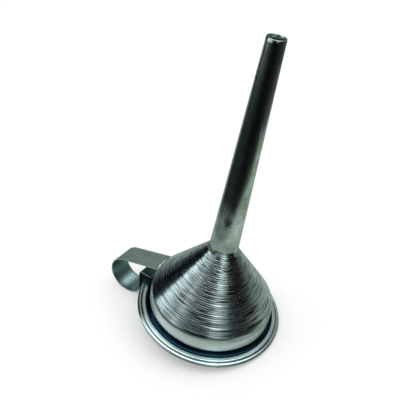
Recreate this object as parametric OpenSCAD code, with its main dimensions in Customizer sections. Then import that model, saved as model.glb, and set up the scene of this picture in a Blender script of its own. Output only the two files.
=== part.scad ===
// Small sheet-steel funnel with a long tapered spout and a strap handle bent into a finger ring.
// It is modelled mouth down and spout up. The spout's axis is Z, and Z = 0 is the plane of the rim.

/* [Bowl] */
// Outside diameter over the rolled rim
rim_d = 100; // [97:0.5:103]
// Outside diameter of the straight collar above the rim
collar_d = 84; // [82:0.5:85]
// Thickness of the bowl's sheet
sheet_t = 0.6; // [0.5:0.05:0.7]
// Angle between the cone's side and the axis
cone_half_angle = 38.7; // [37:0.1:40]
// Height at which the cone's outside would come to a point
cone_apex_z = 68.6; // [67.5:0.1:70]
// Outside radius of the bend between the collar and the cone
knuckle_r = 7; // [5:0.5:8]
// Height of the flange's upper face
flange_z = 3.3; // [3.2:0.1:3.8]
// Diameter of the wire inside the rolled rim
wire_d = 1.6; // [1.4:0.1:1.7]

/* [Spout] */
// Outside diameter at the spout's lower end, just above its turned-in lip
spout_base_d = 18.7; // [18.3:0.1:19.2]
// Outside diameter at the spout's open tip
spout_tip_d = 10.6; // [9.5:0.1:12]
// Height of the open tip above the rim's plane
spout_top_z = 193; // [150:1:220]
// Thickness of the spout's sheet
spout_t = 0.7; // [0.6:0.05:0.8]
// Outside radius of the lip that the spout's lower end is turned in to
spout_lip_r = 1.8; // [1.5:0.1:2]
// Outside diameter of the bowl's neck, which the spout slips over
neck_d = 15; // [14:0.1:15.2]

/* [Handle] */
// Width of the handle's strap
strap_w = 17.5; // [12:0.5:20]
// Thickness of the handle's strap
strap_t = 0.9; // [0.7:0.05:1.1]
// Inside diameter of the finger ring
ring_d = 27; // [24:0.5:28]
// Distance from the funnel's axis to the ring's centre
ring_x = 67; // [66:0.5:70]
// Height of the ring's centre, which hangs below the rim's plane
ring_z = -8.2; // [-10:0.1:-7]
// Downward slope of the handle's upper leg
upper_leg_slope = 19; // [17:0.5:20]
// Outward lean of the handle's lower leg
lower_leg_lean = 6.5; // [4:0.5:8]

/* [Hidden] */

round_fn = 128;
small_fn = 48;
arc_step = 9;
joint_gap = 0.02;

zinc = [0.66, 0.70, 0.68];
spun_zinc = [0.72, 0.75, 0.75];
solder_grey = [0.56, 0.57, 0.53];
wire_grey = [0.45, 0.46, 0.46];

// A wall is drawn along its middle line as a list of bends, joined by straight stretches.
// A bend is [centre across, centre up, middle radius, first angle, last angle].
// An end of the wall is a bend of no radius and no sweep, whose angle points out of the wall's side.
function arc_points(bend, side_offset) =
    let(
        sweep = bend[4] - bend[3],
        steps = ceil(abs(sweep) / arc_step),
        r = bend[2] + (sweep > 0 ? -side_offset : side_offset)
    )
    [for (i = [0:steps])
        let(a = bend[3] + (steps == 0 ? 0 : sweep * i / steps))
        [bend[0] + r * cos(a), bend[1] + r * sin(a)]];

function wall_side(path, side_offset) = [for (bend = path) each arc_points(bend, side_offset)];

function backwards(points) = [for (i = [len(points) - 1:-1:0]) points[i]];

function wall_outline(path, thickness) =
    concat(wall_side(path, thickness / 2), backwards(wall_side(path, -thickness / 2)));

// The bowl's outside: the cone's straight side as radius and as height.
function cone_r(z) = (cone_apex_z - z) * tan(cone_half_angle);
function cone_z(r) = cone_apex_z - r / tan(cone_half_angle);

half_t = sheet_t / 2;
collar_r = collar_d / 2;
rim_r = rim_d / 2;

// Bend that closes the cone into the neck.
neck_fillet_r = 1;
neck_r = neck_d / 2;
neck_top_z = 66;
neck_bend_z = cone_apex_z
    + (neck_fillet_r - (neck_r + neck_fillet_r) * cos(cone_half_angle)) / sin(cone_half_angle);
neck_end = [neck_r - half_t, neck_top_z, 0, 0, 0];
neck_bend = [
    neck_r + neck_fillet_r, neck_bend_z, neck_fillet_r + half_t, 180, 180 + cone_half_angle
];

// Knuckle between the cone and the collar.
knuckle_centre_r = collar_r - knuckle_r;
knuckle_z = cone_apex_z
    - (knuckle_r + knuckle_centre_r * cos(cone_half_angle)) / sin(cone_half_angle);
knuckle_bend = [knuckle_centre_r, knuckle_z, knuckle_r - half_t, cone_half_angle, 0];

// Cove at the collar's foot, and the ridge where it meets the flange.
cove_r = 2.1;
ridge_r = 0.7;
cove_dip = 15;
ridge_z = flange_z - ridge_r;
cove_z = ridge_z + (cove_r + ridge_r) * cos(cove_dip);
ridge_centre_r = collar_r + cove_r + (cove_r + ridge_r) * sin(cove_dip);
cove_bend = [collar_r + cove_r, cove_z, cove_r + half_t, 180, 270 + cove_dip];
ridge_bend = [ridge_centre_r, ridge_z, ridge_r - half_t, 90 + cove_dip, 90];

// The sheet turns down at the flange's edge and rolls up round the wire, with a narrow flat to rest on.
wire_room_r = wire_d / 2 + 0.05;
rest_land = 0.3;
curl_close = 38;
curl_r = wire_room_r + half_t;
curl_z = wire_room_r + sheet_t;
curl_outer_centre_r = rim_r - wire_room_r - sheet_t;
curl_inner_centre_r = curl_outer_centre_r - rest_land;
turn_down_r = 0.8;
turn_down_bend = [
    curl_inner_centre_r - wire_room_r - turn_down_r, flange_z - turn_down_r, turn_down_r - half_t, 90, 0
];
inner_curl = [curl_inner_centre_r, curl_z, curl_r, 180, 270];
outer_curl = [curl_outer_centre_r, curl_z, curl_r, 270, 450 + curl_close];

bowl_path = [
    neck_end, neck_bend, knuckle_bend, cove_bend, ridge_bend, turn_down_bend, inner_curl, outer_curl
];
cone_path = [neck_end, neck_bend, knuckle_bend, cove_bend];
skin_path = concat(cone_path, [ridge_bend, turn_down_bend]);

// The spout's lower end turns in over the neck and stops just clear of the cone.
lip_turn = 75;
lip_centre_r = spout_base_d / 2 - spout_lip_r;
lip_end_r = lip_centre_r + spout_lip_r * cos(lip_turn);
lip_z = cone_z(lip_end_r) + spout_lip_r * sin(lip_turn) + 2 * joint_gap;
spout_taper = atan((spout_base_d - spout_tip_d) / 2 / (spout_top_z - lip_z));
spout_path = [
    [spout_tip_d / 2 - spout_t / 2, spout_top_z, 0, 0, 0],
    [lip_centre_r, lip_z, spout_lip_r - spout_t / 2, spout_taper, -lip_turn]
];
// The spout's outside radius at a height above the lip.
function spout_r(z) =
    let(base_r = spout_base_d / 2, tip_r = spout_tip_d / 2)
    base_r + (tip_r - base_r) * (z - lip_z) / (spout_top_z - lip_z);

// Solder in the groove between the lip and the cone.
solder_lip_angle = -15;
solder_foot_r = 10.3;
solder_start = -15;
solder_sweep = 283;

// Filler on the spout's lengthwise joint.
seam_w = 2.4;
seam_rise = 0.3;
seam_end_gap = 1.5;
seam_azimuth = 118;

// The handle's middle line, in distance from the axis and height.
ring_mid_r = (ring_d + strap_t) / 2;
foot_bend_r = 3;
foot_bend_from = 200;
foot_bend_to = 180 - lower_leg_lean;
top_bend_r = 2;
lower_leg_z = flange_z + joint_gap + strap_t / 2;
lower_leg_end_r = 45;
ring_bend = [ring_x, ring_z, ring_mid_r, 90 - upper_leg_slope, foot_bend_from - 360];
foot_bend = [
    ring_x + (ring_mid_r - foot_bend_r) * cos(foot_bend_from),
    ring_z + (ring_mid_r - foot_bend_r) * sin(foot_bend_from),
    foot_bend_r, foot_bend_from, foot_bend_to
];
// The lower leg leans out from the foot bend to the bend over the rim.
top_bend_z = lower_leg_z - top_bend_r;
top_bend_centre_r = foot_bend[0] - (foot_bend_r + top_bend_r) / cos(lower_leg_lean)
    + (top_bend_z - foot_bend[1]) * tan(lower_leg_lean);
top_bend = [top_bend_centre_r, top_bend_z, top_bend_r, -lower_leg_lean, 90];
lower_leg_end = [lower_leg_end_r, lower_leg_z, 0, 270, 270];
upper_leg_end_r = collar_r - 4;
function upper_leg_z(r) =
    ring_z + ring_mid_r / cos(upper_leg_slope) + (ring_x - r) * tan(upper_leg_slope);
upper_leg_end = [
    upper_leg_end_r, upper_leg_z(upper_leg_end_r), 0, 90 - upper_leg_slope, 90 - upper_leg_slope
];
strap_path = [upper_leg_end, ring_bend, foot_bend, top_bend, lower_leg_end];

weld_r = 0.9;
weld_centre_r = collar_r - 0.3;
weld_sweep = strap_w / weld_centre_r * 180 / PI;
lower_weld_w = strap_w - 5;

module revolved(points, start = 0, sweep = 360) {
    rotate([0, 0, start])
        rotate_extrude(angle = sweep, $fn = round_fn)
            polygon(points);
}

// Everything inside the bowl's outer skin along a path, used to fit pieces against the bowl.
module bowl_core(path, gap) {
    skin = wall_side(path, half_t + gap);
    revolved(concat([[0, skin[0][1]]], skin, [[0, skin[len(skin) - 1][1]]]));
}

module strap_blank() {
    rotate([90, 0, 180])
        linear_extrude(height = strap_w, center = true)
            polygon(wall_outline(strap_path, strap_t));
}

module bowl() {
    color(spun_zinc)
        revolved(wall_outline(bowl_path, sheet_t));
}

module rim_wire() {
    color(wire_grey)
        rotate_extrude($fn = round_fn)
            translate([curl_outer_centre_r - rest_land / 2, curl_z])
                circle(d = wire_d, $fn = small_fn);
}

module spout() {
    color(zinc)
        revolved(wall_outline(spout_path, spout_t));
}

// Filler along the butted edges of the rolled spout.
module spout_seam() {
    low_z = lip_z + seam_end_gap;
    high_z = spout_top_z - seam_end_gap;
    color(solder_grey)
        difference() {
            rotate([0, 0, seam_azimuth])
                translate([spout_r(low_z) + seam_rise - seam_w / 2, 0, low_z])
                    rotate([0, -spout_taper, 0])
                        cylinder(h = high_z - low_z, d = seam_w, $fn = small_fn);
            revolved([
                [0, lip_z], [spout_r(lip_z), lip_z], [spout_r(spout_top_z), spout_top_z], [0, spout_top_z]
            ]);
        }
}

// Solder that fills the joint under the spout, except at the front, where the joint is left open.
module spout_solder() {
    lip_side = [lip_centre_r, lip_z, spout_lip_r + joint_gap, solder_lip_angle, -lip_turn];
    color(solder_grey)
        revolved(
            concat(
                arc_points(lip_side, 0),
                [[lip_end_r, cone_z(lip_end_r)], [solder_foot_r, cone_z(solder_foot_r)]]
            ),
            solder_start, solder_sweep
        );
}

module handle_strap() {
    color(zinc)
        difference() {
            strap_blank();
            bowl_core(cone_path, joint_gap);
        }
}

module upper_handle_weld() {
    color(solder_grey)
        difference() {
            rotate([0, 0, 180 - weld_sweep / 2])
                rotate_extrude(angle = weld_sweep, $fn = round_fn)
                    translate([weld_centre_r, upper_leg_z(weld_centre_r) + strap_t / 2])
                        circle(r = weld_r, $fn = small_fn);
            bowl_core(cone_path, 0);
            strap_blank();
        }
}

module lower_handle_weld() {
    color(solder_grey)
        difference() {
            translate([-lower_leg_end_r + weld_r / 4, 0, flange_z + weld_r / 3])
                rotate([90, 0, 0])
                    cylinder(h = lower_weld_w, r = weld_r, center = true, $fn = small_fn);
            bowl_core(skin_path, 0);
            strap_blank();
        }
}

bowl();
rim_wire();
spout();
spout_seam();
spout_solder();
handle_strap();
upper_handle_weld();
lower_handle_weld();
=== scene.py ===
"""Looks of a small zinc-plated sheet-steel funnel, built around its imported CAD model.

The funnel stands mouth down. Its spout's axis is Z, and Z = 0 is the plane of the rim. Sizes in the
classes are in millimetres and degrees, as a maker would give them, and meshes are in metres.
"""

import logging
import math
from dataclasses import dataclass, field
from enum import Enum
from typing import Callable, Iterable, Mapping, Sequence

import bpy
import numpy as np
from mathutils import Matrix, Vector, noise


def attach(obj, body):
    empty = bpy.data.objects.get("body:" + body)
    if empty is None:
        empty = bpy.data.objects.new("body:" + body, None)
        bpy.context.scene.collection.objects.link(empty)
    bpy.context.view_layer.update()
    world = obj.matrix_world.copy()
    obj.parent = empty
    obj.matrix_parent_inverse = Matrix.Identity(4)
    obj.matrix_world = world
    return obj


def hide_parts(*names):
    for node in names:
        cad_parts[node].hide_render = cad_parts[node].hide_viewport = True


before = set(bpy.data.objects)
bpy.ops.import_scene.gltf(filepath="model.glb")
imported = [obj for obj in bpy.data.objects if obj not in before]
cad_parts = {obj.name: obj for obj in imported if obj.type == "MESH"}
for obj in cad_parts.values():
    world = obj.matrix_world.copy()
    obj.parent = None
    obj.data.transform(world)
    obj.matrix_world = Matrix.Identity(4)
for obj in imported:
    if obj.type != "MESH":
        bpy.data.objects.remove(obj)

MM = 0.001
BODY = "root"
GROOVE = "groove"
STRIP = "strip"
LOG = logging.getLogger("funnel")

Point2 = tuple[float, float]
Point3 = tuple[float, float, float]
Colour = tuple[float, float, float, float]
Feed = bpy.types.Node | bpy.types.NodeSocket


class Slot(Enum):
    """Material slots of the record that a piece can take its finish from."""

    SPUN_ZINC = "spun_zinc"
    ZINC_SHEET = "zinc_sheet"
    ZINC_STRAP = "zinc_strap"
    SOLDER = "solder"
    STEEL_WIRE = "steel_wire"


class Sight(Enum):
    """Which rays see a studio object."""

    EYE = "the camera and soft light"
    MIRROR = "reflections only"


# ---------------------------------------------------------------- node and mesh helpers


def add_node(
    tree: bpy.types.NodeTree, kind: str, links: Mapping | None = None, **settings: object
) -> bpy.types.Node:
    """Adds one node to a tree.

    Args:
        tree: The tree that gets the node.
        kind: Blender's name for the node's type.
        links: Input socket, by name or number, to what feeds it: a socket, a value, or a node,
            which stands for its own first output.
        **settings: The node's own settings.

    Returns:
        The new node.
    """
    node = tree.nodes.new(kind)
    for name, value in settings.items():
        setattr(node, name, value)
    for name, source in (links or {}).items():
        if isinstance(source, bpy.types.Node):
            source = source.outputs[0]
        if isinstance(source, bpy.types.NodeSocket):
            tree.links.new(source, node.inputs[name])
        else:
            node.inputs[name].default_value = source
    return node


def linear(hex_colour: str) -> Colour:
    """Turns an sRGB hex colour into the linear colour that nodes take.

    Args:
        hex_colour: A colour such as "#c4dcd4".

    Returns:
        Linear red, green and blue, and an alpha of one.
    """
    parts = [int(hex_colour[i : i + 2], 16) / 255 for i in (1, 3, 5)]
    made = [c / 12.92 if c <= 0.04045 else ((c + 0.055) / 1.055) ** 2.4 for c in parts]
    return (*made, 1.0)


def span(limits: Point2, unit: float = MM) -> dict[int, float]:
    """Gives the two numbers between which a Map Range node reads its source.

    Args:
        limits: Where the node's result starts and where it is full.
        unit: Metres in one unit of the limits, or one for limits without a unit.

    Returns:
        Input number to value.
    """
    return {1: limits[0] * unit, 2: limits[1] * unit}


def bare_material(name: str) -> tuple[bpy.types.Material, bpy.types.NodeTree]:
    """Makes a material and clears its node tree, ready for its own nodes.

    Args:
        name: The material's name.

    Returns:
        The material and its empty tree.
    """
    material = bpy.data.materials.new(name)
    material.use_nodes = True
    material.node_tree.nodes.clear()
    return material, material.node_tree


def wobble(amount: float, track: float, step: float) -> float:
    """Gives smooth noise of some size at a step along one of many unlike tracks."""
    return amount * noise.noise(Vector((track, 0.0, step)))


def mesh_object(
    name: str,
    points: np.ndarray,
    faces: Iterable[Sequence[int]] = (),
    edges: Iterable[Sequence[int]] = (),
) -> bpy.types.Object:
    """Makes an object from points in millimetres.

    Args:
        name: The object's name.
        points: Point coordinates, one row each.
        faces: Point numbers of each face.
        edges: Point numbers of each loose edge.

    Returns:
        The object, at the origin, linked to the scene.
    """
    mesh = bpy.data.meshes.new(name)
    mesh.from_pydata([tuple(p) for p in np.asarray(points) * MM], list(edges), list(faces))
    mesh.update()
    made = bpy.data.objects.new(name, mesh)
    bpy.context.scene.collection.objects.link(made)
    return made


def face_outwards(piece: bpy.types.Object) -> None:
    """Turns all faces of a closed piece over when its enclosed volume comes out negative.

    Args:
        piece: The closed piece.
    """
    mesh = piece.data
    mesh.calc_loop_triangles()
    corners = np.array([t.vertices[:] for t in mesh.loop_triangles])
    co = np.zeros(len(mesh.vertices) * 3, np.float32)
    mesh.vertices.foreach_get("co", co)
    a, b, c = (co.reshape(-1, 3)[corners[:, i]].astype(float) for i in range(3))
    if np.einsum("ij,ij->i", a, np.cross(b, c)).sum() < 0:
        mesh.flip_normals()


def loft(
    name: str, rings: np.ndarray, round_path: bool = False, uv: np.ndarray | None = None
) -> bpy.types.Object:
    """Skins a row of closed rings.

    Args:
        name: The piece's name.
        rings: Points as rings x points x 3, in millimetres.
        round_path: Whether the last ring joins the first; otherwise both ends are capped.
        uv: Distance along and across the piece for each ring point, in millimetres.

    Returns:
        A closed smooth piece whose faces point outwards.
    """
    count, size = rings.shape[:2]
    last = count if round_path else count - 1
    faces = []
    for i in range(last):
        here, following = i * size, (i + 1) % count * size
        for j in range(size):
            k = (j + 1) % size
            faces.append((here + j, here + k, following + k, following + j))
    if not round_path:
        faces.append(tuple(range(size)))
        faces.append(tuple((count - 1) * size + j for j in reversed(range(size))))
    piece = mesh_object(name, rings.reshape(-1, 3), faces)
    if uv is not None:
        layer = piece.data.uv_layers.new(name=STRIP)
        flat = uv.reshape(-1, 2) * MM
        for loop in piece.data.loops:
            layer.data[loop.index].uv = flat[loop.vertex_index]
    face_outwards(piece)
    piece.data.shade_smooth()
    return piece


# ---------------------------------------------------------------- geometry node trees


def open_tree(
    name: str, inputs: Mapping[str, str]
) -> tuple[bpy.types.NodeTree, Mapping[str, bpy.types.NodeSocket]]:
    """Starts a geometry node tree.

    Args:
        name: The tree's name.
        inputs: Input name to socket type, after the geometry itself.

    Returns:
        The tree, and the sockets of what comes in, by name.
    """
    tree = bpy.data.node_groups.new(name, "GeometryNodeTree")
    for label, kind in {"Geometry": "NodeSocketGeometry", **inputs}.items():
        tree.interface.new_socket(name=label, in_out="INPUT", socket_type=kind)
    tree.interface.new_socket(name="Geometry", in_out="OUTPUT", socket_type="NodeSocketGeometry")
    return tree, add_node(tree, "NodeGroupInput").outputs


def close_tree(tree: bpy.types.NodeTree, geometry: Feed, material: Feed) -> None:
    """Ends a tree with smooth shading, real geometry and the piece's material.

    Args:
        tree: The tree.
        geometry: What the tree has made.
        material: The piece's material.
    """
    smooth = add_node(tree, "GeometryNodeSetShadeSmooth", {"Geometry": geometry})
    real = add_node(tree, "GeometryNodeRealizeInstances", {"Geometry": smooth})
    dressed = add_node(tree, "GeometryNodeSetMaterial", {"Geometry": real, "Material": material})
    add_node(tree, "NodeGroupOutput", {"Geometry": dressed})


def run_tree(piece: bpy.types.Object, tree: bpy.types.NodeTree, values: Mapping[str, object]) -> None:
    """Runs a tree on a piece and keeps the result as the piece's plain mesh.

    Args:
        piece: The object whose mesh feeds the tree.
        tree: The geometry node tree.
        values: Input name to value.
    """
    modifier = piece.modifiers.new(tree.name, "NODES")
    modifier.node_group = tree
    sockets = {s.name: s.identifier for s in tree.interface.items_tree if s.in_out == "INPUT"}
    for name, value in values.items():
        modifier[sockets[name]] = value
    graph = bpy.context.evaluated_depsgraph_get()
    made = bpy.data.meshes.new_from_object(piece.evaluated_get(graph))
    piece.modifiers.clear()
    piece.data = made
    face_outwards(piece)


def turned_wall_tree() -> bpy.types.NodeTree:
    """Builds the tree that turns a wall's outline about Z and rolls spinning grooves into its outside.

    Returns:
        The tree. Its outline comes in as a loop of edges, with X across and Y up.
    """
    mark_stretch = (1.5, 1.5, 0.9)
    mark_levels = (0.3, 0.7)
    feed_drift = 6.0
    ripple_share = 0.7
    unevenness = 1.1
    outside_levels = (0.3, 0.55)
    run_in = 2 * MM
    tree, given = open_tree(
        "turned_wall",
        {
            "Segments": "NodeSocketInt",
            "Path Radius": "NodeSocketFloat",
            "Groove Pitch": "NodeSocketFloat",
            "Groove Depth": "NodeSocketFloat",
            "Groove Start": "NodeSocketFloat",
            "Groove End": "NodeSocketFloat",
            "Waviness": "NodeSocketFloat",
            "Wave Length": "NodeSocketFloat",
            "Seed": "NodeSocketInt",
            "Material": "NodeSocketMaterial",
        },
    )
    outline = add_node(tree, "GeometryNodeMeshToCurve", {"Mesh": given["Geometry"]})
    circle = add_node(
        tree,
        "GeometryNodeCurvePrimitiveCircle",
        {"Resolution": given["Segments"], "Radius": given["Path Radius"]},
    )
    upright = add_node(tree, "GeometryNodeSetCurveNormal", {"Curve": circle}, mode="Z_UP")
    wall = add_node(tree, "GeometryNodeCurveToMesh", {"Curve": upright, "Profile Curve": outline})

    position = add_node(tree, "GeometryNodeInputPosition")
    x, y, z = add_node(tree, "ShaderNodeSeparateXYZ", {0: position}).outputs
    flat = add_node(tree, "ShaderNodeCombineXYZ", {0: x, 1: y})
    around = add_node(tree, "ShaderNodeVectorMath", {0: flat}, operation="NORMALIZE")
    turns = add_node(tree, "ShaderNodeMath", {0: y, 1: x}, operation="ARCTAN2")
    rows = add_node(tree, "ShaderNodeMath", {0: z, 1: given["Groove Pitch"]}, operation="DIVIDE")

    # Marks change slowly round the cone and quickly up it.
    way_x, way_y, _ = add_node(tree, "ShaderNodeSeparateXYZ", {0: around}).outputs
    mark_at = add_node(tree, "ShaderNodeCombineXYZ", {0: way_x, 1: way_y, 2: rows})
    stretched = add_node(tree, "ShaderNodeVectorMath", {0: mark_at, 1: mark_stretch}, operation="MULTIPLY")
    mark = add_node(
        tree,
        "ShaderNodeTexNoise",
        {"Vector": stretched, "W": given["Seed"], "Scale": 1.0, "Detail": 2.0, "Roughness": 0.75},
        noise_dimensions="4D",
    )
    # The roller climbs one pitch each turn, and its path drifts with the marks.
    feed = add_node(tree, "ShaderNodeMath", {0: rows, 1: math.tau, 2: turns}, operation="MULTIPLY_ADD")
    drift = add_node(tree, "ShaderNodeMath", {0: mark, 1: feed_drift, 2: feed}, operation="MULTIPLY_ADD")
    ripple = add_node(tree, "ShaderNodeMath", {0: drift}, operation="SINE")
    uneven = add_node(
        tree, "ShaderNodeMapRange", {0: mark, **span(mark_levels, 1), 3: -unevenness, 4: unevenness}
    )
    groove = add_node(
        tree, "ShaderNodeMath", {0: ripple, 1: ripple_share, 2: uneven}, operation="MULTIPLY_ADD"
    )

    # The grooves are on the outside only, between two heights.
    normal = add_node(tree, "GeometryNodeInputNormal")
    upward = add_node(tree, "ShaderNodeSeparateXYZ", {0: normal}).outputs[2]
    where = add_node(tree, "ShaderNodeMapRange", {0: upward, **span(outside_levels, 1)})
    for limit, operation in (("Groove Start", "ADD"), ("Groove End", "SUBTRACT")):
        full = add_node(tree, "ShaderNodeMath", {0: given[limit], 1: run_in}, operation=operation)
        share = add_node(tree, "ShaderNodeMapRange", {0: z, 1: given[limit], 2: full})
        where = add_node(tree, "ShaderNodeMath", {0: share, 1: where}, operation="MULTIPLY")
    height = add_node(tree, "ShaderNodeMath", {0: where, 1: groove}, operation="MULTIPLY")
    marked = add_node(
        tree,
        "GeometryNodeStoreNamedAttribute",
        {"Geometry": wall, "Name": GROOVE, "Value": height},
        data_type="FLOAT",
        domain="POINT",
    )
    push = add_node(tree, "ShaderNodeMath", {0: height, 1: given["Groove Depth"]}, operation="MULTIPLY")
    dent = add_node(tree, "ShaderNodeVectorMath", {0: normal, "Scale": push}, operation="SCALE")
    grooved = add_node(tree, "GeometryNodeSetPosition", {"Geometry": marked, "Offset": dent})

    # Hand work leaves the sheet a little out of true.
    wave_at = add_node(
        tree, "ShaderNodeVectorMath", {0: position, 1: given["Wave Length"]}, operation="DIVIDE"
    )
    wave = add_node(
        tree,
        "ShaderNodeTexNoise",
        {"Vector": wave_at, "W": given["Seed"], "Scale": 1.0, "Detail": 1.0},
        noise_dimensions="4D",
    ).outputs["Color"]
    centred = add_node(tree, "ShaderNodeVectorMath", {0: wave, 1: (0.5, 0.5, 0.5)}, operation="SUBTRACT")
    swing = add_node(
        tree, "ShaderNodeVectorMath", {0: centred, "Scale": given["Waviness"]}, operation="SCALE"
    )
    waved = add_node(tree, "GeometryNodeSetPosition", {"Geometry": grooved, "Offset": swing})
    close_tree(tree, waved, given["Material"])
    return tree


def lumpy_bead_tree() -> bpy.types.NodeTree:
    """Builds the tree that lays drops of weld metal along a path and melts them into one bead.

    Returns:
        The tree. The path comes in as a row of edges.
    """
    tree, given = open_tree(
        "lumpy_bead",
        {
            "Spacing": "NodeSocketFloat",
            "Drop Radius": "NodeSocketFloat",
            "Smallest": "NodeSocketFloat",
            "Scatter": "NodeSocketFloat",
            "Grid": "NodeSocketFloat",
            "Seed": "NodeSocketInt",
            "Material": "NodeSocketMaterial",
        },
    )
    path = add_node(tree, "GeometryNodeMeshToCurve", {"Mesh": given["Geometry"]})
    even = add_node(
        tree, "GeometryNodeResampleCurve", {"Curve": path, "Length": given["Spacing"]}, mode="LENGTH"
    )
    drops = add_node(tree, "GeometryNodeCurveToPoints", {"Curve": even}, mode="EVALUATED")
    aside = add_node(
        tree,
        "FunctionNodeRandomValue",
        {0: (-1.0, -1.0, -1.0), 1: (1.0, 1.0, 1.0), "Seed": given["Seed"]},
        data_type="FLOAT_VECTOR",
    )
    moved = add_node(tree, "ShaderNodeVectorMath", {0: aside, "Scale": given["Scatter"]}, operation="SCALE")
    loose = add_node(tree, "GeometryNodeSetPosition", {"Geometry": drops, "Offset": moved})
    next_seed = add_node(tree, "ShaderNodeMath", {0: given["Seed"], 1: 1.0}, operation="ADD")
    share = add_node(
        tree,
        "FunctionNodeRandomValue",
        {2: given["Smallest"], 3: 1.0, "Seed": next_seed},
        data_type="FLOAT",
    ).outputs[1]
    radius = add_node(tree, "ShaderNodeMath", {0: share, 1: given["Drop Radius"]}, operation="MULTIPLY")
    melt = add_node(
        tree,
        "GeometryNodePointsToVolume",
        {"Points": loose, "Voxel Size": given["Grid"], "Radius": radius},
        resolution_mode="VOXEL_SIZE",
    )
    skin = add_node(
        tree,
        "GeometryNodeVolumeToMesh",
        {"Volume": melt, "Voxel Size": given["Grid"]},
        resolution_mode="VOXEL_SIZE",
    )
    close_tree(tree, skin, given["Material"])
    return tree


# ---------------------------------------------------------------- finishes


@dataclass(frozen=True)
class MetalFinish:
    """A worked metal surface: its colours, its gloss and the marks that its making leaves.

    In every finish, a pair of sizes or levels says where a mark has gone and where it is full.
    """

    name: str
    bright: str
    dull: str
    smooth: float
    rough: float
    anisotropy: float = 0.0
    patch_mm: float = 14.0
    patch_levels: Point2 = (0.35, 0.72)
    dull_levels: Point2 = (0.15, 1.25)
    grain_mm: float = 0.5
    grain_depth_mm: float = 0.02
    grain_stretch: float = 30.0
    grain_share: float = 0.5

    def along_grain(self, tree: bpy.types.NodeTree) -> Feed:
        """Gives the coordinates, in metres, whose first axis follows the grain."""
        return add_node(tree, "ShaderNodeTexCoord").outputs["Object"]

    def grain_scale(self) -> Point3:
        """Gives the grain's scale on each axis, lowest along the grain."""
        fine = 1 / (self.grain_mm * MM)
        return (fine / self.grain_stretch, fine, fine)

    def grain_vector(self, tree: bpy.types.NodeTree) -> Feed:
        """Stretches the grain's coordinates, so that noise on them makes long fine marks."""
        links = {"Vector": self.along_grain(tree), "Scale": self.grain_scale()}
        return add_node(tree, "ShaderNodeMapping", links)

    def stains(self, tree: bpy.types.NodeTree) -> list[tuple[Feed, str]]:
        """Gives the share and the colour of each mark of this one finish; a plain finish has none."""
        return []

    def bareness(self, tree: bpy.types.NodeTree) -> Feed | float:
        """Tells how much of the surface is bare metal rather than an oxide on it."""
        return 1.0

    def tangent(self, tree: bpy.types.NodeTree) -> Feed | None:
        """Gives the direction across the grain, in which highlights run out."""
        return None

    def build(self) -> bpy.types.Material:
        """Builds the finish.

        Returns:
            A node material on Object coordinates or the piece's own UV map.
        """
        material, tree = bare_material(self.name)
        place = add_node(tree, "ShaderNodeTexCoord").outputs["Object"]
        patches = add_node(
            tree,
            "ShaderNodeTexNoise",
            {"Vector": place, "Scale": 1 / (self.patch_mm * MM), "Detail": 6.0, "Roughness": 0.62},
        )
        grain = add_node(
            tree,
            "ShaderNodeTexNoise",
            {"Vector": self.grain_vector(tree), "Scale": 1.0, "Detail": 3.0, "Roughness": 0.6},
        )
        share = add_node(tree, "ShaderNodeMapRange", {0: patches, **span(self.patch_levels, 1)})
        streaked = add_node(
            tree, "ShaderNodeMath", {0: grain, 1: self.grain_share, 2: share}, operation="MULTIPLY_ADD"
        )
        settled = add_node(tree, "ShaderNodeMapRange", {0: streaked, **span(self.dull_levels, 1)})
        colour = linear(self.bright)
        for share, tint in [(settled, self.dull), *self.stains(tree)]:
            colour = add_node(
                tree, "ShaderNodeMix", {0: share, 6: colour, 7: linear(tint)}, data_type="RGBA"
            ).outputs[2]
        gloss = add_node(tree, "ShaderNodeMapRange", {0: settled, 3: self.smooth, 4: self.rough})
        relief = add_node(
            tree,
            "ShaderNodeBump",
            {"Height": grain, "Distance": self.grain_depth_mm * MM, "Strength": 1.0},
        )
        links = {
            "Base Color": colour,
            "Metallic": self.bareness(tree),
            "Roughness": gloss,
            "Normal": relief,
            "Anisotropic": self.anisotropy,
        }
        across = self.tangent(tree)
        if across is not None:
            links["Tangent"] = across
        shader = add_node(tree, "ShaderNodeBsdfPrincipled", links)
        add_node(tree, "ShaderNodeOutputMaterial", {"Surface": shader})
        return material


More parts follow.
